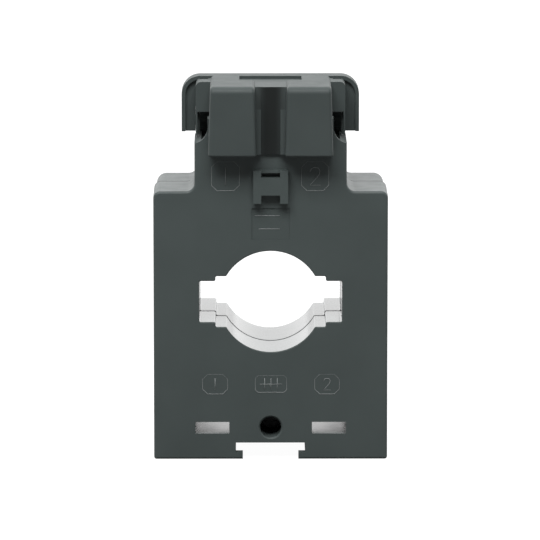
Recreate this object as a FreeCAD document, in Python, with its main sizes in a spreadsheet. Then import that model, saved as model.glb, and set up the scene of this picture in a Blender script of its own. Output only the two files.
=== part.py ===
"""Window current transformer for a 40 x 12 mm bar, a 30 x 15 mm bar or a 30 mm cable.

Millimetres. X runs across the housing, Y from the front face to the rear face and Z up.
The origin is the bottom centre of the whole part. The wound ring sets the housing: the
window sleeve carries the ring, the shells close round it, and the head stands on top.
"""
import FreeCAD, Part
import math
import os
import Sketcher
from types import SimpleNamespace

SIZES = {
    # Window in the middle of the housing
    "bar_slot_width": (42.7, "wide slot for a flat bar"),
    "bar_slot_height": (12.45, "wide slot for a flat bar"),
    "step_width": (33.0, "narrower and thicker bar"),
    "step_height": (15.4, "narrower and thicker bar"),
    "cable_diameter": (30.7, "round cable"),
    "window_lap": (0.1, "window of the rear shell smaller all round"),
    "window_round": (0.5, "corners of the window"),
    "window_edge": (0.35, "front and rear edge of the window"),
    "window_wall": (1.2, "sleeve round the window"),
    # Wound ring
    "core_build": (4.4, "steel strip, radial"),
    "insulation_wall": (0.5, "cups over the core"),
    "winding_build": (0.9, "secondary turns"),
    "tape_build": (0.3, "outer wrap"),
    "layer_gap": (0.05, "between the layers of the ring"),
    "sleeve_gap": (0.3, "window sleeve corner to ring"),
    "coil_side_gap": (0.88, "ring to side wall"),
    "cradle_gap": (0.1, "ring to the ribs that carry it"),
    "pad_thickness": (0.8, "foam ring before and behind the coil"),
    # Housing shells
    "wall": (2.0, "shell wall"),
    "base_zone": (16.0, "ring to the foot of the housing"),
    "crown": (1.23, "ring to the shoulders"),
    "front_depth": (20.0, "front shell, face to parting line"),
    "rear_depth": (20.0, "rear shell"),
    "rear_inset": (0.5, "rear shell narrower all round"),
    "sleeve_step": (1.5, "window sleeve parts this far before the shells"),
    "parting_gap": (0.05, "between the shells"),
    "tongue_length": (2.5, "locating tongue of the rear shell"),
    "tongue_thickness": (1.0, "locating tongue of the rear shell"),
    "tongue_height": (12.0, "locating tongue of the rear shell"),
    "rib_thickness": (1.8, "cradle rib"),
    "edge_round": (0.8, "front and rear edges"),
    "shoulder_round": (2.0, "shoulder corners"),
    "rear_round": (3.0, "shoulder corners of the rear shell"),
    "neck_root_round": (2.6, "neck to shoulder"),
    "foot_round": (0.8, "bottom corners"),
    # Foot: rail slot, strap slots and the assembly screw
    "rail_width": (20.9, "slot behind the lips"),
    "rail_height": (2.95, "slot behind the lips"),
    "rail_lip": (2.15, "lip under the slot"),
    "rail_lip_depth": (2.8, "lip under the slot"),
    "rail_mouth": (16.7, "gap between the lips"),
    "rail_roof": (1.5, "wall over the rail slot"),
    "strap_slot_width": (10.2, "foot slot"),
    "strap_slot_height": (3.6, "foot slot"),
    "strap_slot_across": (17.5, "foot slot from the middle"),
    "strap_slot_bottom": (7.83, "foot slot over the base"),
    "strap_slot_rear_height": (8.0, "foot slot in the rear shell"),
    "sleeve_wall": (1.5, "wall round a foot slot and a screw"),
    "recess_diameter": (6.4, "screw recess"),
    "recess_depth": (14.0, "screw recess"),
    "recess_chamfer": (0.45, "mouth of the recess"),
    "screw_up": (9.78, "assembly screw over the base"),
    "screw_head_diameter": (5.8, "assembly screw"),
    "screw_head_height": (2.2, "assembly screw"),
    "screw_shank_diameter": (3.4, "assembly screw"),
    "screw_shank_length": (17.0, "assembly screw"),
    "screw_hole_gap": (0.15, "shank in the front shell, radial"),
    "thread_fit": (0.02, "thread in its hole, radial"),
    # Neck and carrier of the terminals
    "neck_side_room": (3.9, "terminal to the neck's side wall"),
    "neck_rise": (15.0, "shoulder to the top of the neck wall"),
    "sill_drop": (0.5, "front sill under the neck's side wall"),
    "throat_drop": (1.2, "rear shell's neck under the front sill"),
    "post_rise": (7.4, "corner post over the neck wall"),
    "post_width": (1.5, "corner post"),
    "scoop_radius": (4.65, "wire entry"),
    "scoop_up": (4.1, "centre of the wire entry over the neck wall"),
    "scoop_outside": (0.7, "centre of the wire entry beside the neck"),
    "ledge_drop": (6.0, "neck wall top to the ledge of the carrier"),
    "ledge_width": (2.0, "ledge of the carrier"),
    "ledge_height": (3.0, "ledge of the carrier"),
    "carrier_play": (0.1, "carrier in the neck"),
    "carrier_rise": (11.5, "partition over the sill"),
    "barrier_thickness": (1.7, "wall behind the terminals"),
    "plinth_height": (1.7, "seat of a terminal bar"),
    "plinth_depth": (2.6, "seat of a terminal bar"),
    # Terminals
    "partition_width": (11.6, "between the two terminals"),
    "terminal_width": (11.0, "terminal bar"),
    "terminal_height": (8.4, "terminal bar"),
    "terminal_depth": (8.0, "terminal bar"),
    "terminal_setback": (6.5, "front face of the housing to the terminal"),
    "tail_width": (4.0, "solder tail"),
    "tail_thickness": (1.2, "solder tail"),
    "tail_drop": (10.4, "solder tail under the terminal"),
    "tail_gap": (0.15, "tail in the carrier"),
    "clamp_screw_diameter": (4.9, "terminal screw"),
    "clamp_screw_length": (10.4, "terminal screw under the head"),
    "clamp_head_diameter": (8.4, "terminal screw"),
    "clamp_head_height": (3.0, "terminal screw"),
    "head_round": (0.7, "terminal screw"),
    "cross_width": (1.2, "recess of the terminal screw"),
    "cross_length": (5.6, "recess of the terminal screw"),
    "cross_depth": (1.6, "recess of the terminal screw"),
    "clamp_thread_fit": (0.05, "terminal screw in its thread, radial"),
    "washer_thickness": (1.2, "spring washer"),
    "washer_split": (0.8, "gap in the spring washer"),
    "washer_diameter": (8.0, "spring washer"),
    "washer_play": (0.2, "screw in washer and saddle, radial"),
    "saddle_width": (9.6, "clamping saddle"),
    "saddle_thickness": (1.6, "clamping saddle"),
    "saddle_leg": (1.0, "leg of the saddle"),
    "saddle_leg_length": (4.6, "leg of the saddle"),
    "saddle_play": (0.2, "leg along the terminal"),
    "groove_across": (4.2, "grip groove from the middle of the terminal"),
    "groove_width": (0.8, "grip groove of the terminal"),
    "groove_depth": (0.4, "grip groove of the terminal"),
    # Sealing loop and plate recess on the neck
    "loop_width": (10.4, "sealing loop"),
    "loop_leg": (2.4, "sealing loop"),
    "loop_stand": (3.0, "sealing loop proud of the neck"),
    "loop_bottom": (78.27, "sealing loop"),
    "loop_height": (9.9, "sealing loop"),
    "bridge_bottom": (80.77, "bridge of the sealing loop"),
    "bridge_height": (5.3, "bridge of the sealing loop"),
    "bridge_thickness": (1.3, "bridge of the sealing loop"),
    "arch_height": (0.9, "arch over the loop"),
    "plate_width": (11.4, "square recess under the loop"),
    "plate_height": (9.6, "square recess under the loop"),
    "plate_bottom": (66.87, "square recess under the loop"),
    "plate_depth": (0.35, "square recess under the loop"),
    # Terminal cap
    "overhang": (8.0, "cap in front of the housing"),
    "cap_wall": (1.5, "cap wall"),
    "cap_roof": (1.4, "cap roof"),
    "cap_height": (16.8, "cap over the wire entry"),
    "cap_gap": (0.6, "cap over the neck wall"),
    "cap_running_gap": (0.6, "cap to the neck's front wall"),
    "block_drop": (4.0, "blocks under the skirt"),
    "block_outer": (18.55, "outer side of a block at its foot"),
    "block_inner": (4.15, "inner side of a block at its foot"),
    "block_round": (1.05, "upright and upper side edges of the blocks"),
    "block_top_round": (2.0, "top front edge of the blocks"),
    "block_foot_round": (0.6, "lower front edge of the blocks"),
    "block_taper": (0.6, "block narrower at its top on each side"),
    "strip_setback": (5.0, "first step between the blocks"),
    "channel_setback": (6.8, "channel between the blocks"),
    "channel_width": (5.8, "channel between the blocks"),
    "channel_drop": (0.8, "roof of the channel under the blocks"),
    "skirt_wall": (1.1, "side skirt"),
    "skirt_inset": (0.35, "skirt narrower than the neck on each side"),
    "skirt_gap": (0.6, "top of the skirt under the rim of the hood"),
    "entry_depth": (2.5, "thinned side of the skirt at the wire entry"),
    "entry_lip": (0.5, "thinned side of the skirt at the wire entry"),
    "skirt_setback": (8.2, "side skirt behind the front face"),
    "entry_height": (7.2, "wire entry under the skirt's front wall"),
    "hood_setback": (17.0, "wings behind the front face"),
    "hood_depth": (6.0, "wings"),
    "wing_width": (3.95, "wing beside the neck"),
    "wing_round": (5.6, "top corner of a wing"),
    "wing_rim": (1.1, "rim of a wing"),
    "wing_recess": (1.2, "hollow face of a wing"),
    "skirt_round": (1.6, "top corner of the skirt"),
    "vent_width": (2.6, "slot in the roof"),
    "vent_depth": (2.2, "slot in the roof"),
    "mark_width": (18.6, "shallow field in the roof"),
    "mark_depth": (8.8, "shallow field in the roof"),
    "mark_sink": (0.85, "shallow field in the roof"),
    "mark_setback": (8.2, "shallow field in the roof"),
    "small_round": (0.4, "broken edges"),
    # Hinge of the cap
    "pivot_up": (4.0, "pivot over the neck wall"),
    "pivot_diameter": (3.0, "pivot pin"),
    "pivot_length": (2.7, "pivot pin beside the ridge"),
    "pivot_fit": (0.08, "pin in its bore, radial"),
    "bore_end_gap": (0.3, "end of the pin in its bore"),
    "ridge_radius": (3.0, "hinge ridge across the neck"),
    "ridge_gap": (0.3, "end of the ridge to the wing"),
    "ridge_room": (1.0, "cap over and before the ridge"),
    "hinge_round": (2.2, "lower rear edge of the wings"),
    # Leads from the ring to the terminals
    "lead_diameter": (1.6, "insulated lead"),
    "lead_start_across": (8.0, "lead on the ring"),
    "lead_start_depth": (22.0, "lead on the ring"),
    "lead_gap": (0.1, "lead to ring and tail"),
}


class Size:
    """A length with its number and the formula that ties it to the sheet."""

    def __init__(self, number, formula):
        self.number = number
        self.formula = formula

    def joined(self, other, sign, number, turned=False):
        text = other.formula if isinstance(other, Size) else repr(float(other))
        pair = (text, self.formula) if turned else (self.formula, text)
        return Size(number, f"({pair[0]} {sign} {pair[1]})")

    def __add__(self, other):
        return self.joined(other, "+", self.number + plain(other))

    def __radd__(self, other):
        return self.joined(other, "+", plain(other) + self.number, turned=True)

    def __sub__(self, other):
        return self.joined(other, "-", self.number - plain(other))

    def __rsub__(self, other):
        return self.joined(other, "-", plain(other) - self.number, turned=True)

    def __mul__(self, other):
        return self.joined(other, "*", self.number * plain(other))

    def __rmul__(self, other):
        return self.joined(other, "*", plain(other) * self.number, turned=True)

    def __truediv__(self, other):
        return self.joined(other, "/", self.number / plain(other))

    def __neg__(self):
        return self * -1


def plain(value):
    """The number of a size, or of a bare number."""
    return value.number if isinstance(value, Size) else float(value)


def diagonal(one, other):
    """Length of the hypotenuse over two sizes."""
    number = math.hypot(plain(one), plain(other))
    return Size(number, f"hypot({one.formula}; {other.formula})")


def vector(x, y, z):
    return FreeCAD.Vector(plain(x), plain(y), plain(z))


doc = FreeCAD.newDocument("CurrentTransformer")
sheet = doc.addObject("Spreadsheet::Sheet", "Sizes")
for row, (alias, (value, note)) in enumerate(SIZES.items(), start=1):
    sheet.set(f"A{row}", alias)
    sheet.set(f"B{row}", str(value))
    sheet.set(f"C{row}", note)
    sheet.setAlias(f"B{row}", alias)
doc.recompute()
s = SimpleNamespace(**{
    alias: Size(value, f"Sizes.{alias}") for alias, (value, note) in SIZES.items()
})


# Places that several pieces share
face = (s.overhang - s.front_depth - s.rear_depth) / 2
seam = face + s.front_depth
back = seam + s.rear_depth
inner_face = face + s.wall
inner_back = back - s.wall

layers = s.insulation_wall + s.winding_build + s.tape_build + 3 * s.layer_gap
sleeve_corner = diagonal(s.bar_slot_width / 2 + s.window_wall, s.bar_slot_height / 2 + s.window_wall)
coil_inner = sleeve_corner + s.sleeve_gap
coil_outer = coil_inner + s.core_build + 2 * layers
half_width = coil_outer + s.coil_side_gap + s.wall
window_up = s.base_zone + coil_outer
shoulder = window_up + coil_outer + s.crown
coil_middle = (face + back) / 2
coil_half = (s.front_depth + s.rear_depth) / 2 - s.wall - s.pad_thickness - 2 * s.layer_gap

terminal_across = (s.partition_width + s.terminal_width) / 2
half_neck = terminal_across + s.terminal_width / 2 + s.neck_side_room + s.wall
neck_top = shoulder + s.neck_rise
sill = neck_top - s.sill_drop
ledge_top = neck_top - s.ledge_drop

bar_bottom = sill + s.plinth_height
terminal_up = bar_bottom + s.terminal_height / 2
terminal_front = face + s.terminal_setback
terminal_back = terminal_front + s.terminal_depth
saddle_front = terminal_front - s.saddle_thickness
head_seat = saddle_front - s.washer_thickness

skirt_bottom = neck_top + s.cap_gap
roof = skirt_bottom + s.cap_height
ceiling = roof - s.cap_roof
block_bottom = skirt_bottom - s.block_drop
cap_front = face - s.overhang
hood_front = face + s.hood_setback
hood_back = hood_front + s.hood_depth
pivot_height = neck_top + s.pivot_up
pivot_depth = hood_front + s.hood_depth / 2


# Bodies, outlines and features
def new_body(label):
    body = doc.addObject("PartDesign::Body", label)
    body.Label = label
    return body


def new_sketch(body, role, offset):
    """Sketch on an origin plane of its own body; offset runs along the plane's normal."""
    sketch = body.newObject("Sketcher::SketchObject", "Outline")
    plane = next(item for item in body.Origin.OriginFeatures if item.Role == role)
    sketch.AttachmentSupport = (plane, [""])
    sketch.MapMode = "FlatFace"
    sketch.setExpression("AttachmentOffset.Base.z", offset.formula)
    return sketch


def pin_point(sketch, geometry, end, across, up):
    """Hold one point of the sketch at its distances from the origin."""
    for kind, size in (("DistanceX", across), ("DistanceY", up)):
        index = sketch.addConstraint(Sketcher.Constraint(kind, -1, 1, geometry, end, plain(size)))
        if isinstance(size, Size):
            sketch.setExpression(f"Constraints[{index}]", size.formula)


def closed_line(sketch, points):
    """Polygon through the points, each held by its two distances."""
    first = sketch.GeometryCount
    count = len(points)
    for index, (across, up) in enumerate(points):
        far_across, far_up = points[(index + 1) % count]
        sketch.addGeometry(Part.LineSegment(vector(across, up, 0), vector(far_across, far_up, 0)))
    for index, (across, up) in enumerate(points):
        follower = first + (index + 1) % count
        sketch.addConstraint(Sketcher.Constraint("Coincident", first + index, 2, follower, 1))
        pin_point(sketch, first + index, 1, across, up)


def rectangle(sketch, left, right, bottom, top):
    closed_line(sketch, [(left, bottom), (right, bottom), (right, top), (left, top)])


def circle(sketch, across, up, radius):
    index = sketch.GeometryCount
    sketch.addGeometry(Part.Circle(vector(across, up, 0), FreeCAD.Vector(0, 0, 1), plain(radius)))
    pin_point(sketch, index, 3, across, up)
    held = sketch.addConstraint(Sketcher.Constraint("Radius", index, plain(radius)))
    sketch.setExpression(f"Constraints[{held}]", radius.formula)


def both_sides(inner, outer, bottom, top):
    """The same rectangle on the left and on the right."""
    return [(-outer, -inner, bottom, top), (inner, outer, bottom, top)]


def front_outline(body, depth, boxes=(), circles=(), lines=()):
    """Outline seen from the front, in the plane at the given depth."""
    sketch = new_sketch(body, "XZ_Plane", -depth)
    for box in boxes:
        rectangle(sketch, *box)
    for ring in circles:
        circle(sketch, *ring)
    for points in lines:
        closed_line(sketch, points)
    return sketch


def feature(body, kind, sketch, length, reverse=False, draft=None):
    """Pad or pocket of a sketch, checked to add or to remove material."""
    before = body.Shape.Volume if body.Tip else 0.0
    item = body.newObject(f"PartDesign::{kind}", kind)
    item.Profile = sketch
    item.Reversed = reverse
    item.setExpression("Length", length.formula)
    if draft is not None:
        item.setExpression("TaperAngle", draft.formula)
    sketch.Visibility = False
    doc.recompute()
    change = body.Shape.Volume - before
    if (kind == "Pad") != (change > 0) or abs(change) < 1e-6:
        raise RuntimeError(f"{body.Label}: {item.Label} changes {change:.3f} mm3")
    return item


def build(body, near, far, **shapes):
    """Add material between two depths."""
    return feature(body, "Pad", front_outline(body, near, **shapes), far - near, reverse=True)


def carve(body, near, far, **shapes):
    """Remove material between two depths."""
    return feature(body, "Pocket", front_outline(body, near, **shapes), far - near)


def edge_names(body, test):
    """Names of the straight or round edges whose middle passes the test."""
    names = []
    for index, edge in enumerate(body.Shape.Edges, start=1):
        middle = edge.valueAt((edge.FirstParameter + edge.LastParameter) / 2)
        if test(edge, middle):
            names.append(f"Edge{index}")
    return names


def along(edge, axis):
    """True where a straight edge runs along X, Y or Z, or within the draft of it."""
    if len(edge.Vertexes) < 2:
        return False
    chord = edge.Vertexes[-1].Point - edge.Vertexes[0].Point
    return abs(edge.Length - chord.Length) < 1e-4 and abs(chord[axis]) > 0.99 * edge.Length


def near_to(value, size, within=0.02):
    return abs(value - plain(size)) < within


def circle_at(body, depth, diameter):
    """The full circle of the given diameter in the plane at the given depth."""
    return edge_names(body, lambda edge, middle: near_to(edge.CenterOfMass.y, depth)
                      and near_to(edge.Length, math.pi * diameter))


def dress(body, kind, names, size):
    """Fillet or chamfer the named edges of the body's tip."""
    if not names:
        raise RuntimeError(f"{body.Label}: no edge found for a {kind.lower()}")
    base = body.Tip
    item = body.newObject(f"PartDesign::{kind}", kind)
    item.Base = (base, names)
    item.setExpression("Radius" if kind == "Fillet" else "Size", size.formula)
    doc.recompute()
    if item.Shape.isNull() or not item.Shape.isValid() or "Invalid" in item.State:
        raise RuntimeError(f"{body.Label}: the {kind.lower()} of {names} fails")
    return item


def primitive(kind, name, corner, **sizes):
    """Box, cylinder or cone whose sizes and corner follow the sheet."""
    item = doc.addObject(f"Part::{kind}", name)
    for prop, size in sizes.items():
        item.setExpression(prop, size.formula)
    for axis, size in zip("xyz", corner):
        if isinstance(size, Size):
            item.setExpression(f"Placement.Base.{axis}", size.formula)
    return item


def box(name, x_range, y_range, z_range):
    (left, right), (front, rear), (bottom, top) = x_range, y_range, z_range
    return primitive("Box", name, (left, front, bottom),
                     Length=right - left, Width=rear - front, Height=top - bottom)


def rod(name, x, y, z, radius, length):
    """Cylinder that runs along Y from the given point."""
    item = primitive("Cylinder", name, (x, y, z), Radius=radius, Height=length)
    item.Placement.Rotation = FreeCAD.Rotation(FreeCAD.Vector(1, 0, 0), -90)
    return item


def fused(label, items):
    item = doc.addObject("Part::MultiFuse", label)
    item.Shapes = items
    item.Refine = True
    item.Label = label
    return item


def cut(label, base, tools):
    tool = tools[0] if len(tools) == 1 else fused(f"{label}_tools", tools)
    item = doc.addObject("Part::Cut", label)
    item.Base = base
    item.Tool = tool
    item.Refine = True
    item.Label = label
    return item


# Housing shells
window_shapes = [
    (s.bar_slot_width / 2, s.bar_slot_height / 2),
    (s.step_width / 2, s.step_height / 2),
]
rail_top = s.rail_lip + s.rail_height
rail_block = [(-s.rail_width / 2 - s.rail_roof, s.rail_width / 2 + s.rail_roof,
               s.wall / 2, rail_top + s.rail_roof)]
rail_outline = [
    (-s.rail_mouth / 2, -s.rail_lip), (s.rail_mouth / 2, -s.rail_lip),
    (s.rail_mouth / 2, s.rail_lip), (s.rail_width / 2, s.rail_lip),
    (s.rail_width / 2, rail_top), (-s.rail_width / 2, rail_top),
    (-s.rail_width / 2, s.rail_lip), (-s.rail_mouth / 2, s.rail_lip)]
rail_room = [(-s.rail_width / 2, s.rail_width / 2, -s.rail_lip, rail_top)]
boss_radius = s.recess_diameter / 2 + s.sleeve_wall
cradle_ribs = both_sides(s.step_width / 2 - s.rib_thickness / 2, s.step_width / 2 + s.rib_thickness / 2,
                         s.wall / 2, window_up - coil_inner)


def strap_slots(height, extra=0):
    """Both foot slots, of the given height and grown by a wall for their sleeves."""
    half = s.strap_slot_width / 2 + extra
    return both_sides(s.strap_slot_across - half, s.strap_slot_across + half,
                      s.strap_slot_bottom - extra, s.strap_slot_bottom + height + extra)


def window(body, action, near, far, extra):
    """The three shapes of the window, grown by a wall for its sleeve or drawn in by the lap."""
    for half, high in window_shapes:
        action(body, near, far, boxes=[(-half - extra, half + extra,
                                        window_up - high - extra, window_up + high + extra)])
    action(body, near, far, circles=[(0, window_up, s.cable_diameter / 2 + extra)])


def round_window(body, lap):
    """Break the corners of the window that run front to rear."""
    bar_half, bar_high = (size - lap for size in window_shapes[0])
    step_half, step_high = (size - lap for size in window_shapes[1])
    crossing = math.sqrt(plain(s.cable_diameter / 2 - lap) ** 2 - plain(step_high) ** 2)
    names = []
    for across, high in ((bar_half, bar_high), (step_half, bar_high), (step_half, step_high),
                         (crossing, step_high)):
        for up in (window_up - high, window_up + high):
            names += straight_corners(body, across, up)
    dress(body, "Fillet", names, s.window_round)


def window_edges(body, depth):
    """Edges of the window in the plane at the given depth."""
    reach = plain(sleeve_corner)
    names = []
    for name in edges_at_depth(body, depth):
        middle = body.Shape.getElement(name).CenterOfMass
        if math.hypot(middle.x, middle.z - plain(window_up)) < reach:
            names.append(name)
    return names


def shell_fittings(body, near, far, slot_height):
    """Walls inside a shell that carry the ring, the strap slots, the rail slot and the screw."""
    build(body, near, far, boxes=cradle_ribs)
    carve(body, near, far, circles=[(0, window_up, coil_outer + s.cradle_gap)])
    build(body, near, far, boxes=rail_block)
    build(body, near, far, boxes=strap_slots(slot_height, s.sleeve_wall))
    build(body, near, far, circles=[(0, s.screw_up, boss_radius)])


def shell_openings(body, near, far, slot_height):
    """Rail slot and strap slots right through a shell."""
    carve(body, near, far, lines=[rail_outline])
    carve(body, near, far, boxes=strap_slots(slot_height))


def straight_corners(body, across, up):
    """Edges that run front to rear at a mirrored corner of the outline."""
    return edge_names(body, lambda edge, middle: along(edge, 1)
                      and near_to(abs(middle.x), across) and near_to(middle.z, up))


def edges_at_depth(body, depth):
    """Every edge that lies in the plane at the given depth."""
    return edge_names(body, lambda edge, middle: near_to(middle.y, depth)
                      and near_to(edge.CenterOfMass.y, depth))


def make_front_shell():
    body = new_body("front_shell")
    post_top = neck_top + s.post_rise
    outline = [(-half_width, 0), (half_width, 0), (half_width, shoulder), (half_neck, shoulder),
               (half_neck, post_top), (-half_neck, post_top), (-half_neck, shoulder),
               (-half_width, shoulder)]
    build(body, face, seam, lines=[outline])
    dress(body, "Fillet", straight_corners(body, half_width, shoulder), s.shoulder_round)
    dress(body, "Fillet", straight_corners(body, half_width, 0), s.foot_round)
    dress(body, "Fillet", straight_corners(body, half_neck, shoulder), s.neck_root_round)
    dress(body, "Fillet", edges_at_depth(body, face), s.edge_round)

    past = seam + s.wall
    before = face - s.wall
    over = post_top + s.wall
    carve(body, inner_face, past, boxes=[(-half_width + s.wall, half_width - s.wall,
                                          s.wall, shoulder - s.wall)])
    carve(body, inner_face, past, boxes=[(-half_neck + s.wall, half_neck - s.wall,
                                          shoulder - 2 * s.wall, over)])
    shell_fittings(body, inner_face, seam, s.strap_slot_height)
    window(body, build, inner_face, seam - s.sleeve_step, s.window_wall)
    build(body, inner_face, seam, boxes=both_sides(
        half_neck - s.wall - s.ledge_width, half_neck - s.wall / 2, ledge_top - s.ledge_height, ledge_top))

    entry_floor = neck_top + s.scoop_up
    entry_inner = half_neck + s.scoop_outside - s.scoop_radius
    notch_half = entry_inner - s.post_width
    carve(body, before, past, circles=[(-entry_inner - s.scoop_radius, entry_floor, s.scoop_radius),
                                       (entry_inner + s.scoop_radius, entry_floor, s.scoop_radius)])
    carve(body, before, past, boxes=both_sides(entry_inner, half_neck + s.wall, entry_floor, over))
    carve(body, before, past, boxes=[(-notch_half, notch_half, sill, over)])

    window(body, carve, before, past, 0)
    round_window(body, 0)
    dress(body, "Fillet", window_edges(body, face), s.window_edge)
    shell_openings(body, before, past, s.strap_slot_height)
    carve(body, face + s.rail_lip_depth, past, boxes=rail_room)
    carve(body, before, face + s.recess_depth, circles=[(0, s.screw_up, s.recess_diameter / 2)])
    carve(body, face, past, circles=[(0, s.screw_up, s.screw_shank_diameter / 2 + s.screw_hole_gap)])
    dress(body, "Chamfer", circle_at(body, face, s.recess_diameter), s.recess_chamfer)

    # Square recess and sealing loop on the neck
    half_plate = s.plate_width / 2
    carve(body, before, face + s.plate_depth, boxes=[(-half_plate, half_plate, s.plate_bottom,
                                                      s.plate_bottom + s.plate_height)])
    stand = face - s.loop_stand
    half_loop = s.loop_width / 2
    loop_top = s.loop_bottom + s.loop_height
    build(body, stand, face + s.wall / 2, boxes=both_sides(half_loop - s.loop_leg, half_loop,
                                                           s.loop_bottom, loop_top))
    build(body, stand, stand + s.bridge_thickness, boxes=[
        (-half_loop + s.loop_leg / 2, half_loop - s.loop_leg / 2, s.bridge_bottom,
         s.bridge_bottom + s.bridge_height)])
    build(body, face - s.bridge_thickness, face + s.wall / 2, boxes=[
        (-half_loop + s.loop_leg / 2, half_loop - s.loop_leg / 2, loop_top - s.arch_height, loop_top)])
    return body


def make_rear_shell():
    body = new_body("rear_shell")
    half = half_width - s.rear_inset
    top = shoulder - s.rear_inset
    half_throat = half_neck - s.rear_inset
    near = seam + s.parting_gap
    throat_top = sill - s.throat_drop
    outline = [(-half, 0), (half, 0), (half, top), (half_throat, top), (half_throat, throat_top),
               (-half_throat, throat_top), (-half_throat, top), (-half, top)]
    build(body, near, back, lines=[outline])
    dress(body, "Fillet", straight_corners(body, half, top), s.rear_round)
    dress(body, "Fillet", straight_corners(body, half, 0), s.foot_round)
    dress(body, "Fillet", straight_corners(body, half_throat, top), s.neck_root_round)
    dress(body, "Fillet", edges_at_depth(body, back), s.edge_round)

    before = near - s.wall
    carve(body, before, inner_back, boxes=[(-half + s.wall, half - s.wall, s.wall, top - s.wall)])
    carve(body, before, inner_back, boxes=[(-half_throat + s.wall, half_throat - s.wall,
                                            top - 2 * s.wall, throat_top - s.wall)])
    shell_fittings(body, near, inner_back, s.strap_slot_rear_height)
    window(body, build, seam - s.sleeve_step + s.parting_gap, inner_back, s.window_wall)

    tongue_outer = half_width - s.wall - s.parting_gap
    tongue_inner = tongue_outer - s.tongue_thickness
    for bottom in (rail_top, top - s.wall - s.parting_gap - s.tongue_height):
        build(body, seam - s.tongue_length, seam + s.tongue_length, boxes=both_sides(
            tongue_inner, tongue_outer, bottom, bottom + s.tongue_height))

    window(body, carve, before, back + s.wall, -s.window_lap)
    round_window(body, s.window_lap)
    dress(body, "Fillet", window_edges(body, back), s.window_edge)
    shell_openings(body, before, back + s.wall, s.strap_slot_rear_height)
    carve(body, before, back - s.rail_lip_depth, boxes=rail_room)
    carve(body, before, near + s.screw_shank_length, circles=[
        (0, s.screw_up, s.screw_shank_diameter / 2 + s.thread_fit)])

    # Hinge ridge across the neck, with a pin at each end
    for shape, start in (("foot", half_throat), ("ridge", half_throat),
                         ("pins", half_throat + s.pivot_length)):
        sketch = new_sketch(body, "YZ_Plane", -start)
        if shape == "foot":
            rectangle(sketch, near, pivot_depth + s.ridge_radius, throat_top - s.wall / 2, pivot_height)
        else:
            circle(sketch, pivot_depth, pivot_height,
                   s.ridge_radius if shape == "ridge" else s.pivot_diameter / 2)
        feature(body, "Pad", sketch, 2 * start)
    return body


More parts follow.
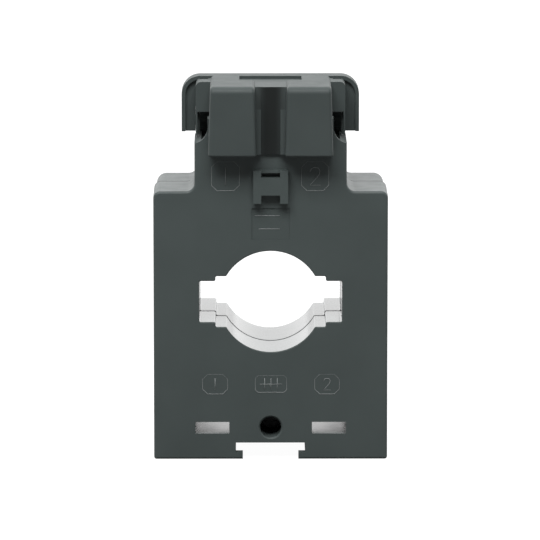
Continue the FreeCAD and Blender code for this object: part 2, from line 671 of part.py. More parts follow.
# Terminal cap
def make_cap():
    body = new_body("terminal_cap")
    wing_outer = half_neck + s.wing_width
    skirt_half = half_neck - s.skirt_inset
    skirt_front = face + s.skirt_setback
    under = block_bottom - s.wall

    # Wings: a rim round a hollow face
    build(body, hood_front, hood_back, boxes=[(-wing_outer, wing_outer, skirt_bottom, roof)])
    hollow_outer = wing_outer - s.wing_rim
    hollow_top = roof - s.wing_rim
    skirt_top = roof - s.skirt_gap
    hollow = hood_front + s.wing_recess
    carve(body, hood_front, hollow, boxes=[(-hollow_outer, hollow_outer, under, hollow_top)])
    dress(body, "Fillet", straight_corners(body, hollow_outer, hollow_top), s.wing_round - s.wing_rim)
    dress(body, "Fillet", straight_corners(body, wing_outer, roof), s.wing_round)

    # Two blocks over the terminals, flared downwards; their tops run back to the hood
    block_inner_top = s.block_inner + s.block_taper
    block_outer_top = s.block_outer - s.block_taper
    build(body, cap_front, hollow, lines=[
        [(s.block_inner * side, block_bottom), (s.block_outer * side, block_bottom),
         (block_outer_top * side, roof), (block_inner_top * side, roof)] for side in (-1, 1)])
    at_front = plain(cap_front + s.cap_wall)
    brows = edge_names(body, lambda edge, middle: along(edge, 0) and near_to(middle.z, roof)
                       and middle.y < at_front)
    dress(body, "Fillet", brows, s.block_top_round)
    uprights = edge_names(body, lambda edge, middle: along(edge, 2) and middle.y < at_front)
    dress(body, "Fillet", uprights, s.block_round)
    toes = edge_names(body, lambda edge, middle: along(edge, 0) and near_to(middle.z, block_bottom)
                      and middle.y < at_front)
    dress(body, "Fillet", toes, s.block_foot_round)

    # Skirt over the neck
    build(body, skirt_front, hollow, boxes=[(-skirt_half, skirt_half, skirt_bottom, skirt_top)])
    dress(body, "Fillet", straight_corners(body, skirt_half, skirt_top), s.skirt_round)
    carve(body, skirt_front, hollow, boxes=[(-skirt_half, skirt_half, under, skirt_bottom)])

    # Stepped channel between the blocks
    bridge_top = roof - s.channel_drop
    channel_front = cap_front + s.channel_setback
    overlap = s.block_inner + s.cap_wall / 2
    half_roof = block_inner_top + s.block_round
    build(body, skirt_front, hollow, boxes=[(-half_roof, half_roof, ceiling, roof)])
    bridge = new_sketch(body, "YZ_Plane", -overlap)
    closed_line(bridge, [(cap_front + s.strip_setback, block_bottom), (skirt_front + s.wall, block_bottom),
                         (skirt_front + s.wall, bridge_top), (channel_front, bridge_top)])
    feature(body, "Pad", bridge, 2 * overlap)
    carve(body, cap_front, channel_front, boxes=[
        (-s.channel_width / 2, s.channel_width / 2, block_bottom - s.wall, roof)])

    # Inside: two screw chambers, the room over the terminals, skirt and hinge
    chamber_outer = s.block_outer - s.cap_wall
    chamber_inner = s.block_inner + s.cap_wall
    chamber_front = cap_front + s.cap_wall
    rear_of_blocks = face - s.cap_running_gap
    skirt_inner = skirt_half - s.skirt_wall
    skirt_ceiling = skirt_top - s.cap_roof
    carve(body, chamber_front, rear_of_blocks, boxes=both_sides(chamber_inner, chamber_outer, under, ceiling))
    carve(body, rear_of_blocks, skirt_front + s.skirt_wall, boxes=[
        (-chamber_outer, chamber_outer, under, ceiling)])
    carve(body, rear_of_blocks, skirt_front, boxes=both_sides(
        chamber_inner, half_neck, under, skirt_bottom + s.entry_height))
    carve(body, skirt_front, skirt_front + s.entry_depth, boxes=[
        (-skirt_half + s.entry_lip, skirt_half - s.entry_lip, under, skirt_bottom + s.entry_height)])
    carve(body, skirt_front + s.skirt_wall, hood_back - s.cap_roof, boxes=[
        (-skirt_inner, skirt_inner, under, skirt_ceiling)])
    ridge_space = half_neck - s.rear_inset + s.ridge_gap
    carve(body, pivot_depth - s.ridge_radius - s.ridge_room, hood_back + s.wall, boxes=[
        (-ridge_space, ridge_space, under, pivot_height + s.ridge_radius + s.ridge_room)])
    bore_end = half_neck - s.rear_inset + s.pivot_length + s.bore_end_gap
    bore = new_sketch(body, "YZ_Plane", -bore_end)
    circle(bore, pivot_depth, pivot_height, s.pivot_diameter / 2 + s.pivot_fit)
    feature(body, "Pocket", bore, 2 * bore_end, reverse=True)

    # Rounded heels under the hinge; slots and a shallow field in the roof
    heels = edge_names(body, lambda edge, middle: along(edge, 0) and near_to(middle.y, hood_back)
                       and near_to(middle.z, skirt_bottom))
    dress(body, "Fillet", heels, s.hinge_round)
    vent_far = hood_front - s.small_round
    carve(body, vent_far - s.vent_depth, vent_far, boxes=both_sides(
        skirt_inner - s.vent_width, skirt_inner, skirt_ceiling - s.wall, roof))
    mark_near = face + s.mark_setback
    carve(body, mark_near, mark_near + s.mark_depth, boxes=[
        (-s.mark_width / 2, s.mark_width / 2, roof - s.mark_sink, roof + s.wall)])
    return body


# Terminals
def make_carrier():
    fit = half_neck - s.wall - s.carrier_play
    near = inner_face + s.carrier_play
    far = seam - s.parting_gap
    barrier = (terminal_back, terminal_back + s.barrier_thickness)
    top = sill + s.carrier_rise
    half_partition = s.partition_width / 2 - s.carrier_play
    outer = terminal_across + s.terminal_width / 2
    parts = [
        box("carrier_floor", (-fit, fit), (near, far), (ledge_top + s.parting_gap, sill)),
        box("carrier_partition", (-half_partition, half_partition), (near, barrier[1]), (sill, top)),
        box("carrier_barrier", (-outer, outer), barrier, (sill, top)),
    ]
    slots = []
    for name, side in (("left", -1), ("right", 1)):
        middle = terminal_across * side
        half = s.terminal_width / 2
        parts.append(box(f"{name}_plinth", (middle - half, middle + half),
                         (terminal_back - s.plinth_depth, terminal_back), (sill, bar_bottom)))
        half_slot = s.tail_width / 2 + s.tail_gap
        tail_back = terminal_back - s.tail_thickness / 2 + s.tail_gap
        slots.append(box(f"{name}_tail_slot", (middle - half_slot, middle + half_slot),
                         (tail_back - s.tail_thickness - 2 * s.tail_gap, tail_back),
                         (ledge_top - s.wall, bar_bottom + s.wall)))
    return cut("terminal_carrier", fused("carrier_solid", parts), slots)


def make_terminal(name, side):
    """Tapped bar with a solder tail, its saddle, spring washer and screw."""
    middle = terminal_across * side
    half = s.terminal_width / 2
    tail_back = terminal_back - s.tail_thickness / 2
    block = box(f"{name}_bar_block", (middle - half, middle + half), (terminal_front, terminal_back),
                (bar_bottom, bar_bottom + s.terminal_height))
    tail = box(f"{name}_bar_tail", (middle - s.tail_width / 2, middle + s.tail_width / 2),
               (tail_back - s.tail_thickness, tail_back), (bar_bottom - s.tail_drop, bar_bottom + s.wall))
    tools = [rod(f"{name}_bar_thread", middle, terminal_front - s.wall, terminal_up,
                 s.clamp_screw_diameter / 2 + s.clamp_thread_fit, s.terminal_depth + 2 * s.wall)]
    for number, place in enumerate((middle - s.groove_across, middle + s.groove_across), start=1):
        tools.append(box(f"{name}_bar_groove_{number}",
                         (place - s.groove_width / 2, place + s.groove_width / 2),
                         (terminal_front - s.groove_depth, terminal_front + s.groove_depth),
                         (bar_bottom - s.wall, bar_bottom + s.terminal_height + s.wall)))
    cut(f"{name}_terminal_bar", fused(f"{name}_bar_solid", [block, tail]), tools)

    half = s.saddle_width / 2
    legs_low = bar_bottom - s.saddle_play - s.saddle_leg
    legs_high = bar_bottom + s.terminal_height + s.saddle_play + s.saddle_leg
    saddle_back = saddle_front + s.saddle_thickness
    plate = box(f"{name}_saddle_plate", (middle - half, middle + half),
                (saddle_front, saddle_back), (legs_low, legs_high))
    low_leg = box(f"{name}_saddle_low_leg", (middle - half, middle + half),
                  (saddle_front, saddle_back + s.saddle_leg_length), (legs_low, legs_low + s.saddle_leg))
    high_leg = box(f"{name}_saddle_high_leg", (middle - half, middle + half),
                   (saddle_front, saddle_back + s.saddle_leg_length), (legs_high - s.saddle_leg, legs_high))
    hole = rod(f"{name}_saddle_hole", middle, saddle_front - s.wall, terminal_up,
               s.clamp_screw_diameter / 2 + s.washer_play, s.saddle_thickness + 2 * s.wall)
    cut(f"{name}_clamp_saddle", fused(f"{name}_saddle_solid", [plate, low_leg, high_leg]), [hole])

    disc = rod(f"{name}_washer_disc", middle, head_seat, terminal_up,
               s.washer_diameter / 2, s.washer_thickness)
    eye = rod(f"{name}_washer_eye", middle, head_seat - s.wall, terminal_up,
              s.clamp_screw_diameter / 2 + s.washer_play, s.washer_thickness + 2 * s.wall)
    split = box(f"{name}_washer_split", (middle - s.washer_split / 2, middle + s.washer_split / 2),
                (head_seat - s.wall, saddle_front + s.wall),
                (terminal_up, terminal_up + s.washer_diameter))
    cut(f"{name}_spring_washer", disc, [eye, split])
    make_clamp_screw(f"{name}_terminal_screw", middle)


def make_clamp_screw(name, middle):
    """Pan head with a cross recess on a plain shank."""
    body = new_body(name)
    head_front = head_seat - s.clamp_head_height
    build(body, head_front, head_seat, circles=[(middle, terminal_up, s.clamp_head_diameter / 2)])
    dress(body, "Fillet", circle_at(body, head_front, s.clamp_head_diameter), s.head_round)
    build(body, head_seat, head_seat + s.clamp_screw_length, circles=[
        (middle, terminal_up, s.clamp_screw_diameter / 2)])
    half = s.cross_width / 2
    reach = s.cross_length / 2
    carve(body, head_front - s.wall, head_front + s.cross_depth, boxes=[
        (middle - half, middle + half, terminal_up - reach, terminal_up + reach)])
    carve(body, head_front - s.wall, head_front + s.cross_depth, boxes=[
        (middle - reach, middle + reach, terminal_up - half, terminal_up + half)])


# Wound ring
def revolved(label, profiles):
    """Ring of revolution about the axis of the window."""
    body = new_body(label)
    sketch = new_sketch(body, "YZ_Plane", s.wall * 0)
    sketch.addGeometry(Part.LineSegment(vector(face, window_up, 0), vector(back, window_up, 0)), True)
    pin_point(sketch, 0, 1, face, window_up)
    pin_point(sketch, 0, 2, back, window_up)
    for points in profiles:
        closed_line(sketch, points)
    ring = body.newObject("PartDesign::Revolution", "Revolution")
    ring.Profile = sketch
    ring.ReferenceAxis = (sketch, ["Axis0"])
    ring.Angle = 360
    sketch.Visibility = False
    doc.recompute()
    return body


def ring_profile(inner, outer, near, far):
    low = window_up + inner
    high = window_up + outer
    return [(near, low), (far, low), (far, high), (near, high)]


def make_ring():
    core_inner = coil_inner + layers
    core_outer = core_inner + s.core_build
    half = coil_half - layers
    revolved("wound_core", [ring_profile(core_inner, core_outer, coil_middle - half, coil_middle + half)])

    gap = s.layer_gap
    cup = s.insulation_wall
    for label, side in (("core_cup_front", -1), ("core_cup_rear", 1)):
        parting = coil_middle + gap / 2 * side
        floor = coil_middle + (half + gap) * side
        outside = coil_middle + (half + gap + cup) * side
        low = window_up + core_inner - gap - cup
        high = window_up + core_outer + gap + cup
        revolved(label, [[(parting, low), (outside, low), (outside, high), (parting, high),
                          (parting, high - cup), (floor, high - cup), (floor, low + cup),
                          (parting, low + cup)]])

    inner, outer, reach = core_inner - gap - cup, core_outer + gap + cup, half + gap + cup
    for label, build_up in (("secondary_winding", s.winding_build), ("winding_tape", s.tape_build)):
        hollow = ring_profile(inner - gap, outer + gap, coil_middle - reach - gap, coil_middle + reach + gap)
        inner, outer, reach = inner - gap - build_up, outer + gap + build_up, reach + gap + build_up
        skin = ring_profile(inner, outer, coil_middle - reach, coil_middle + reach)
        revolved(label, [skin, hollow])

    pads = (("coil_pad_front", inner_face + gap), ("coil_pad_rear", inner_back - gap - s.pad_thickness))
    for label, start in pads:
        body = new_body(label)
        build(body, start, start + s.pad_thickness, circles=[
            (0, window_up, core_outer), (0, window_up, core_inner)])


def make_lead(name, side):
    """Insulated lead from the ring to the solder tail, with round turns."""
    middle = terminal_across * side
    tail_middle = terminal_back - s.tail_thickness
    tail_end = bar_bottom - s.tail_drop
    radius = plain(s.lead_diameter) / 2
    start_across = plain(s.lead_start_across) * side
    reach = plain(coil_outer) + plain(s.lead_gap)
    leaving = plain(window_up) + math.sqrt(reach ** 2 - (abs(start_across) - radius) ** 2)
    start = vector(start_across, face + s.lead_start_depth, leaving)
    end = vector(middle, tail_middle, tail_end - s.lead_gap)
    third = (end.z - start.z) / 3
    route = [start, start + FreeCAD.Vector(0, 0, third), end - FreeCAD.Vector(0, 0, third), end]
    edges = []
    at = route[0]
    for before, corner, after in zip(route, route[1:], route[2:]):
        arriving = (corner - before).normalize()
        parting = (after - corner).normalize()
        turn = arriving.getAngle(parting)
        run = min((corner - before).Length, (after - corner).Length)
        trim = 0.45 * run
        enter = corner - arriving * trim
        leave = corner + parting * trim
        bend = trim / math.tan(turn / 2)
        centre = enter + (parting - arriving * parting.dot(arriving)).normalize() * bend
        middle_of_arc = centre + (corner - centre).normalize() * bend
        edges.append(Part.LineSegment(at, enter).toShape())
        edges.append(Part.Arc(enter, middle_of_arc, leave).toShape())
        at = leave
    edges.append(Part.LineSegment(at, end).toShape())
    path = Part.Wire(edges)
    section = Part.Wire([Part.makeCircle(radius, start, FreeCAD.Vector(0, 0, 1))])
    item = doc.addObject("Part::Feature", name)
    item.Shape = path.makePipeShell([section], True, False)
    item.Label = name
    return item


def make_assembly_screw():
    body = new_body("assembly_screw")
    seat = face + s.recess_depth
    head_front = seat - s.screw_head_height
    build(body, head_front, seat, circles=[(0, s.screw_up, s.screw_head_diameter / 2)])
    dress(body, "Fillet", circle_at(body, head_front, s.screw_head_diameter), s.small_round)
    build(body, seat, seat + s.screw_shank_length, circles=[(0, s.screw_up, s.screw_shank_diameter / 2)])
    half = s.cross_width / 2
    reach = s.screw_head_diameter / 2 - s.small_round * 2
    carve(body, head_front - s.wall, head_front + s.cross_depth / 2, boxes=[
        (-half, half, s.screw_up - reach, s.screw_up + reach)])
    carve(body, head_front - s.wall, head_front + s.cross_depth / 2, boxes=[
        (-reach, reach, s.screw_up - half, s.screw_up + half)])


NODES = ["front_shell", "rear_shell", "terminal_cap", "terminal_carrier", "wound_core",
         "core_cup_front", "core_cup_rear", "secondary_winding", "winding_tape",
         "coil_pad_front", "coil_pad_rear", "assembly_screw"]
for side_name in ("left", "right"):
    NODES += [f"{side_name}_{piece}" for piece in (
        "terminal_bar", "clamp_saddle", "spring_washer", "terminal_screw", "lead")]


def main():
    make_front_shell()
    make_rear_shell()
    make_cap()
    make_carrier()
    make_ring()
    make_assembly_screw()
    for name, side in (("left", -1), ("right", 1)):
        make_terminal(name, side)
        make_lead(f"{name}_lead", side)
    doc.recompute()
    for item in doc.Objects:
        if "Invalid" in item.State or "Error" in item.State:
            raise RuntimeError(f"{item.Label} failed: {item.State}")
    os.makedirs("parts", exist_ok=True)
    for label in NODES:
        shape = doc.getObjectsByLabel(label)[0].Shape
        if shape.isNull() or not shape.isValid() or not shape.Solids:
            raise RuntimeError(f"{label} has no valid solid")
        print(f"{label}: {len(shape.Solids)} solid, {shape.Volume:.1f} mm3, {shape.BoundBox}")
        shape.exportStep(f"parts/{label}.step")


main()
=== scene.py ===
"""Looks of the window current transformer: its finishes, the marks on its housing and the studio.

Lengths are in metres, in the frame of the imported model: X to the right seen from the front,
Y from the front face to the rear face, Z up from the foot.
"""

import math

import bmesh
import bpy
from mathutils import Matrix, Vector


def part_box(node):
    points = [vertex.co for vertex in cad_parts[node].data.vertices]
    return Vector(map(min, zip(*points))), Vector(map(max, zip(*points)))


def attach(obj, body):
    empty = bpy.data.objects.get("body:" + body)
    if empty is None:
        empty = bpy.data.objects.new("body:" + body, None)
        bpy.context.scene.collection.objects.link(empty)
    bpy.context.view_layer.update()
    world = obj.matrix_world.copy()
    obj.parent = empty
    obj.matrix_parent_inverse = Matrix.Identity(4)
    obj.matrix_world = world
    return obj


bl_info = {
    "name": "Window current transformer",
    "version": (1, 0, 0),
    "blender": (4, 5, 0),
    "location": "3D View > Sidebar > Transformer",
    "description": "Finishes, marks and studio of a window current transformer",
    "category": "Add Mesh",
}

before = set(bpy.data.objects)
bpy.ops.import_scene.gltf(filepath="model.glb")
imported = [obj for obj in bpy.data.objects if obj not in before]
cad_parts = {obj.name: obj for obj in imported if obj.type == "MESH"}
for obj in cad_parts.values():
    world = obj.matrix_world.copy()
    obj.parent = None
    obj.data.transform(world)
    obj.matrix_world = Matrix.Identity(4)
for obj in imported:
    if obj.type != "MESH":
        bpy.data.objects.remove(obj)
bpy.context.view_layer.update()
MM = 0.001

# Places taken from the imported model.
SHELL_LOW, SHELL_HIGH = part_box("front_shell")
REAR_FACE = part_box("rear_shell")[1].y
CAP_LOW, CAP_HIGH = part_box("terminal_cap")
CORE_LOW, CORE_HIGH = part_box("wound_core")
LOOP_STAND = 3.0 * MM  # the sealing loop stands out from the front face by this much
FACE = SHELL_LOW.y + LOOP_STAND
SEAM = SHELL_HIGH.y

# Regions of the housing and the cap whose skin differs, and where shade is painted on it.
EDGE = 0.3 * MM  # a region ends this far inside a broken edge, or past a sharp one
WINDOW_REACH = 22 * MM
WINDOW_BOTTOM = 32 * MM
WINDOW_TOP = 64 * MM
SLOT_ENDS = (12.4 * MM, 22.6 * MM)  # inner and outer end of a strap slot from the middle
SLOT_BOTTOM = 7 * MM
SLOT_TOP = 16.5 * MM
SLOT_END_DULLNESS = 2.2  # roughness at the outer end beside that at the inner one
SHOULDER = 81.5 * MM  # height of the shoulders, where the painted shadow along the parting line is widest
# Painted shadow of the gap between the shells: its width on the shoulders and on the sides, and the
# tone that multiplies the colour and the reflection there.
SHOULDER_SHADOW_WIDTH = 0.6 * MM
SIDE_SHADOW_WIDTH = 0.21 * MM
SEAM_SHADOW_TONE = 0.15
CHANNEL_HALF = 5.5 * MM
CHANNEL_MIDDLE = 1.1 * MM  # half width of the darkest strip of the painted shade in the channel
CHANNEL_BACK = CAP_LOW.y + 6.8 * MM

# Skin of a moulding: noise scales in cells per metre, and how far tone and gloss vary.
NOISE_SPAN = (0.3, 0.7)  # nearly all values of a noise lie between these
CLOUD_SCALE = 55
CLOUD_TONES = (0.955, 1.045)
SKIN_SCALE = 260
SKIN_SPREAD = 0.03
SKIN_SPECULAR = 0.25
FLOW_SCALE = 90
FLOW_STRETCH = (1, 1, 0.35)
FLOW_DEPTH = 1.6  # depth of the flow marks beside that of the grain
WINDOW_SPECULAR = 0.75

# Plated metals: colour, roughness and stretch of the drawn or turned lines.
NICKEL = ((0.66, 0.62, 0.54), 0.27, (1, 0.05, 1))
ZINC = ((0.60, 0.62, 0.66), 0.30, (1, 0.08, 1))
BLACK_OXIDE = ((0.05, 0.05, 0.052), 0.5, (1, 0.08, 1))
LINE_SCALE = 900
LINE_SPREAD = (-0.01, 0.02)
LINE_DEPTH = 0.0002 * MM
STAIN_SCALE = 240
STAIN_TONES = (0.92, 1.03)

# Ring: its strip, its cups, its turns and the pads beside it, and the leads.
CORE_STEEL, CORE_ROUGHNESS = (0.42, 0.43, 0.45), 0.38
STRIP_THICKNESS = 0.15 * MM
# Colours of the copper and the tape, each with a darker colour painted in as shade in the creases
# between turns.
COPPER, COPPER_GROOVE_SHADE = (0.62, 0.25, 0.10), (0.10, 0.03, 0.01)
TAPE, TAPE_GROOVE_SHADE = (0.70, 0.55, 0.12), (0.45, 0.33, 0.05)
GROOVE_SHADE_SHARE = 0.22  # how far the painted shade of the creases runs up a ridge
FOAM, FOAM_ROUGHNESS = (0.05, 0.05, 0.055), 0.9
FOAM_CELL, FOAM_DEPTH = 0.5 * MM, 0.2 * MM
# Colour, roughness, grain size and grain depth of the smaller mouldings.
NYLON = ((0.72, 0.68, 0.57), 0.45, 0.5 * MM, 0.01 * MM)
SHEATH = ((0.02, 0.02, 0.022), 0.5, 0.3 * MM, 0.01 * MM)

# Figures as strokes: points across and up, as shares of the figure's height.
ONE = ((0, 0), (0, 1))
TWO = ((-0.28, 0.76), (-0.2, 0.93), (-0.02, 1), (0.18, 0.95), (0.27, 0.8), (0.22, 0.6),
       (0.05, 0.38), (-0.28, 0), (0.3, 0))

# Marks in millimetres. A frame is left, right, bottom, top and the size of its cut corners.
FOOT_FRAMES = ((-20.4, -12.9, 20.0, 26.0, 1.5), (13.2, 20.6, 20.0, 26.0, 1.5))
NECK_FRAMES = ((-17.6, -9.3, 81.77, 90.47, 1.6), (9.2, 17.3, 81.77, 90.47, 1.6))
GRID_FRAME = (-4.6, 4.8, 20.5, 25.6, 0.8)
GRID_STROKES, GRID_STEP = 3, 1.9
GRID_LEFT, GRID_FOOT, GRID_HEAD = -1.8, 21.3, 24.8
GRID_BAR = (-3.2, 3.4, 23.0)  # left, right and height of a level line
PLATE_LINES = ((-4.8, 2.7, 74.17), (-3.6, 2.7, 70.17))
PLATE_DEPTH = 0.35 * MM
WELD = 1e-6  # points of the marks that are closer than this become one

# Studio. The room's limits are parts of a direction of length 1: towards the rear, and upwards.
KEY_PLACE = (-0.12, -0.62, 0.86)
KEY_SIZE = (0.8, 0.4)
ROOM_TURN = 0.45  # the room brightens from this far to the front to as far to the rear
CEILING_RISE = (0.35, 0.95)  # the ceiling adds no light below the first, all above the second
FLOOR_HALF = 12.0
FLOOR_ROUGHNESS, FLOOR_SPECULAR = 0.9, 0.1
BACKDROP_START = 0.1  # so far behind the object reflections show all of the floor's glow
SENSOR_WIDTH = 36  # millimetres, as the lens
CLIP_NEAR, CLIP_FAR = 0.01, 50


class MouldedFinish(bpy.types.PropertyGroup):
    """Finish of the glass-filled housing."""
    colour: bpy.props.FloatVectorProperty(
        name="Colour", description="Colour of the shells and the cap", subtype="COLOR",
        size=3, min=0, max=1, default=(0.0630, 0.0770, 0.0755))
    cap_tone: bpy.props.FloatProperty(
        name="Cap tone", description="Brightness of the cap beside the shells",
        default=0.84, min=0, max=2, subtype="FACTOR")
    carrier_tone: bpy.props.FloatProperty(
        name="Carrier tone", description="Brightness of the terminals' carrier beside the shells",
        default=0.35, min=0, max=2, subtype="FACTOR")
    # Painted shade in the channel of the cap: its tone in the middle.
    channel_shade_tone: bpy.props.FloatProperty(
        name="Channel tone", description="Tone in the middle of the channel of the cap",
        default=0.2, min=0, max=1, subtype="FACTOR")
    roughness: bpy.props.FloatProperty(
        name="Roughness", description="Gloss of the moulded skin", default=0.42, min=0, max=1,
        subtype="FACTOR")
    cap_dullness: bpy.props.FloatProperty(
        name="Cap dullness", description="Roughness that the cap has over the shells",
        default=0.12, min=0, max=1, subtype="FACTOR")
    carrier_dullness: bpy.props.FloatProperty(
        name="Carrier dullness", description="Roughness that the carrier has over the shells",
        default=0.06, min=0, max=1, subtype="FACTOR")
    polish: bpy.props.FloatProperty(
        name="Polish of the window", description="Share of the roughness left in the window",
        default=0.32, min=0, max=1, subtype="FACTOR")
    slot_polish: bpy.props.FloatProperty(
        name="Polish of the strap slots",
        description="Share of the roughness left in the strap slots",
        default=0.3, min=0, max=1, subtype="FACTOR")
    grain: bpy.props.FloatProperty(
        name="Grain size", description="Size of the eroded grain of the mould",
        default=0.32 * MM, unit="LENGTH")
    grain_depth: bpy.props.FloatProperty(
        name="Grain depth", description="Depth of the eroded grain", default=0.005 * MM,
        unit="LENGTH")


class MarkSizes(bpy.types.PropertyGroup):
    """Raised frames and figures on the front face."""
    rib: bpy.props.FloatProperty(
        name="Rib", description="Half width of a raised line", default=0.09 * MM, unit="LENGTH")
    figure_height: bpy.props.FloatProperty(
        name="Figure height", description="Height of a figure on the foot", default=3.6 * MM,
        unit="LENGTH")
    neck_figure_height: bpy.props.FloatProperty(
        name="Neck figure height", description="Height of a figure on the neck",
        default=5.4 * MM, unit="LENGTH")
    fade: bpy.props.FloatProperty(
        name="Fade", description="Thickness of a frame at its top beside that at its foot",
        default=0.3, min=0, max=1, subtype="FACTOR")


class StudioSettings(bpy.types.PropertyGroup):
    """Camera, lamp, room and floor."""
    distance: bpy.props.FloatProperty(
        name="Distance", description="Camera to the front face", default=1.53, unit="LENGTH")
    lens: bpy.props.FloatProperty(
        name="Lens", description="Focal length in millimetres", default=341.5, min=1, max=1000)
    pitch: bpy.props.FloatProperty(
        name="Pitch", description="How far the camera looks down", subtype="ANGLE",
        default=math.radians(10.07))
    yaw: bpy.props.FloatProperty(
        name="Yaw", description="How far the camera looks to the right", subtype="ANGLE",
        default=math.radians(0.27))
    aim: bpy.props.FloatVectorProperty(
        name="Aim", description="Point of the front face in the middle of the picture",
        subtype="TRANSLATION", unit="LENGTH", size=3, default=(-0.19 * MM, FACE, 57.77 * MM))
    key_power: bpy.props.FloatProperty(
        name="Key light", description="Watts of the large lamp over the object", default=12.0,
        subtype="POWER")
    room_front: bpy.props.FloatProperty(
        name="Room in front", description="Brightness of the room behind the camera",
        default=0.06)
    room_top: bpy.props.FloatProperty(
        name="Ceiling", description="Brightness that the ceiling adds", default=0.30)
    room_rear: bpy.props.FloatProperty(
        name="Wall behind", description="Brightness of the lit wall behind the object",
        default=1.7)
    floor_glow: bpy.props.FloatProperty(
        name="Floor", description="Brightness that the lit floor shows by itself", default=0.97)
    floor_reflected: bpy.props.FloatProperty(
        name="Floor in reflections",
        description="Share of that brightness in reflections in front of the object",
        default=0.2, min=0, max=1, subtype="FACTOR")
    floor_tone: bpy.props.FloatProperty(
        name="Floor tone", description="Lightness of the floor paint", default=0.15, min=0,
        max=1, subtype="FACTOR")


def feed(tree, source, socket):
    """Link an output of the tree to a socket, or set the socket to a plain value."""
    if isinstance(source, bpy.types.NodeSocket):
        tree.links.new(source, socket)
    else:
        socket.default_value = source


def new_material(name):
    """Material with a plain principled surface: the material, its tree and its shader."""
    material = bpy.data.materials.new(name)
    material.use_nodes = True
    tree = material.node_tree
    return material, tree, surface(tree)


def surface(tree):
    return tree.nodes["Principled BSDF"]


def calculate(tree, operation, *terms):
    """Result of a sum on values; each term is an output of the tree or a number."""
    node = tree.nodes.new("ShaderNodeMath")
    node.operation = operation
    for term, socket in zip(terms, node.inputs):
        feed(tree, term, socket)
    return node.outputs["Value"]


def combine(tree, operation, first, second):
    """Vector that comes out of two vectors."""
    node = tree.nodes.new("ShaderNodeVectorMath")
    node.operation = operation
    feed(tree, first, node.inputs[0])
    feed(tree, second, node.inputs[1])
    return node.outputs["Vector"]


def map_range(tree, value, source, target, interpolation="LINEAR"):
    """The value, mapped from one span to another."""
    node = tree.nodes.new("ShaderNodeMapRange")
    node.interpolation_type = interpolation
    node.inputs["From Min"].default_value, node.inputs["From Max"].default_value = source
    node.inputs["To Min"].default_value, node.inputs["To Max"].default_value = target
    feed(tree, value, node.inputs["Value"])
    return node.outputs["Result"]


def parts_of(tree, vector):
    """Outputs X, Y and Z of a vector."""
    node = tree.nodes.new("ShaderNodeSeparateXYZ")
    feed(tree, vector, node.inputs["Vector"])
    return node.outputs


def object_point(tree, stretch=(1, 1, 1)):
    """Object coordinates, stretched along the axes."""
    place = tree.nodes.new("ShaderNodeTexCoord")
    mapping = tree.nodes.new("ShaderNodeMapping")
    mapping.inputs["Scale"].default_value = stretch
    feed(tree, place.outputs["Object"], mapping.inputs["Vector"])
    return mapping.outputs["Vector"]


def noise(tree, point, scale, detail):
    texture = tree.nodes.new("ShaderNodeTexNoise")
    texture.inputs["Scale"].default_value = scale
    texture.inputs["Detail"].default_value = detail
    feed(tree, point, texture.inputs["Vector"])
    return texture.outputs["Fac"]


def spread(tree, value, low, high):
    """A noise, mapped to the span from low to high."""
    return map_range(tree, value, NOISE_SPAN, (low, high))


def two_tone(tree, value, one, other, start=0.35, end=0.65):
    """Colour that runs from one to the other while the value runs from start to end."""
    ramp = tree.nodes.new("ShaderNodeValToRGB")
    for element, position, colour in zip(ramp.color_ramp.elements, (start, end), (one, other)):
        element.position = position
        element.color = (*colour, 1)
    feed(tree, value, ramp.inputs["Fac"])
    return ramp.outputs["Color"]


def bump(tree, height, depth, before=None):
    """Relief of the given depth on the surface, over an earlier relief if there is one."""
    node = tree.nodes.new("ShaderNodeBump")
    node.inputs["Distance"].default_value = depth
    feed(tree, height, node.inputs["Height"])
    if before is not None:
        feed(tree, before, node.inputs["Normal"])
    feed(tree, node.outputs["Normal"], surface(tree).inputs["Normal"])
    return node.outputs["Normal"]


def shade(colour, factor):
    return tuple(min(1.0, part * factor) for part in colour)


def inside(tree, low, high):
    """1 in the box between two corners, 0 outside of it."""
    place = parts_of(tree, object_point(tree))
    shares = [calculate(tree, "COMPARE", place[axis], (start + end) / 2, (end - start) / 2)
              for axis, start, end in zip("XYZ", low, high)]
    return calculate(tree, "MULTIPLY", calculate(tree, "MULTIPLY", shares[0], shares[1]), shares[2])


def within(tree, low, high, outside, value):
    """One value in the box between two corners, another outside of it."""
    return map_range(tree, inside(tree, low, high), (0, 1), (outside, value))


def gradient(tree, low, high, limits, values):
    """Value that runs with the distance from the middle plane inside a box, and 1 outside."""
    away = calculate(tree, "ABSOLUTE", parts_of(tree, object_point(tree))["X"])
    mixed = tree.nodes.new("ShaderNodeMix")
    feed(tree, inside(tree, low, high), mixed.inputs["Factor"])
    mixed.inputs["A"].default_value = 1.0
    feed(tree, map_range(tree, away, limits, values, "SMOOTHSTEP"), mixed.inputs["B"])
    return mixed.outputs["Result"]


def scale_input(tree, name, factor):
    """Multiply the value that reaches an input of the surface."""
    socket = surface(tree).inputs[name]
    feed(tree, calculate(tree, "MULTIPLY", socket.links[0].from_socket, factor), socket)


def darken(tree, factor):
    """Multiply the colour of the surface by a value."""
    socket = surface(tree).inputs["Base Color"]
    product = tree.nodes.new("ShaderNodeVectorMath")
    product.operation = "SCALE"
    feed(tree, socket.links[0].from_socket, product.inputs["Vector"])
    feed(tree, factor, product.inputs["Scale"])
    feed(tree, product.outputs["Vector"], socket)


def polish_window(material, polish):
    """Smooth skin in the window, which a polished core of the mould made."""
    tree = material.node_tree
    low = (-WINDOW_REACH, FACE + EDGE, WINDOW_BOTTOM)
    high = (WINDOW_REACH, REAR_FACE - EDGE, WINDOW_TOP)
    scale_input(tree, "Roughness", within(tree, low, high, 1.0, polish))
    feed(tree, within(tree, low, high, SKIN_SPECULAR, WINDOW_SPECULAR),
         surface(tree).inputs["Specular IOR Level"])


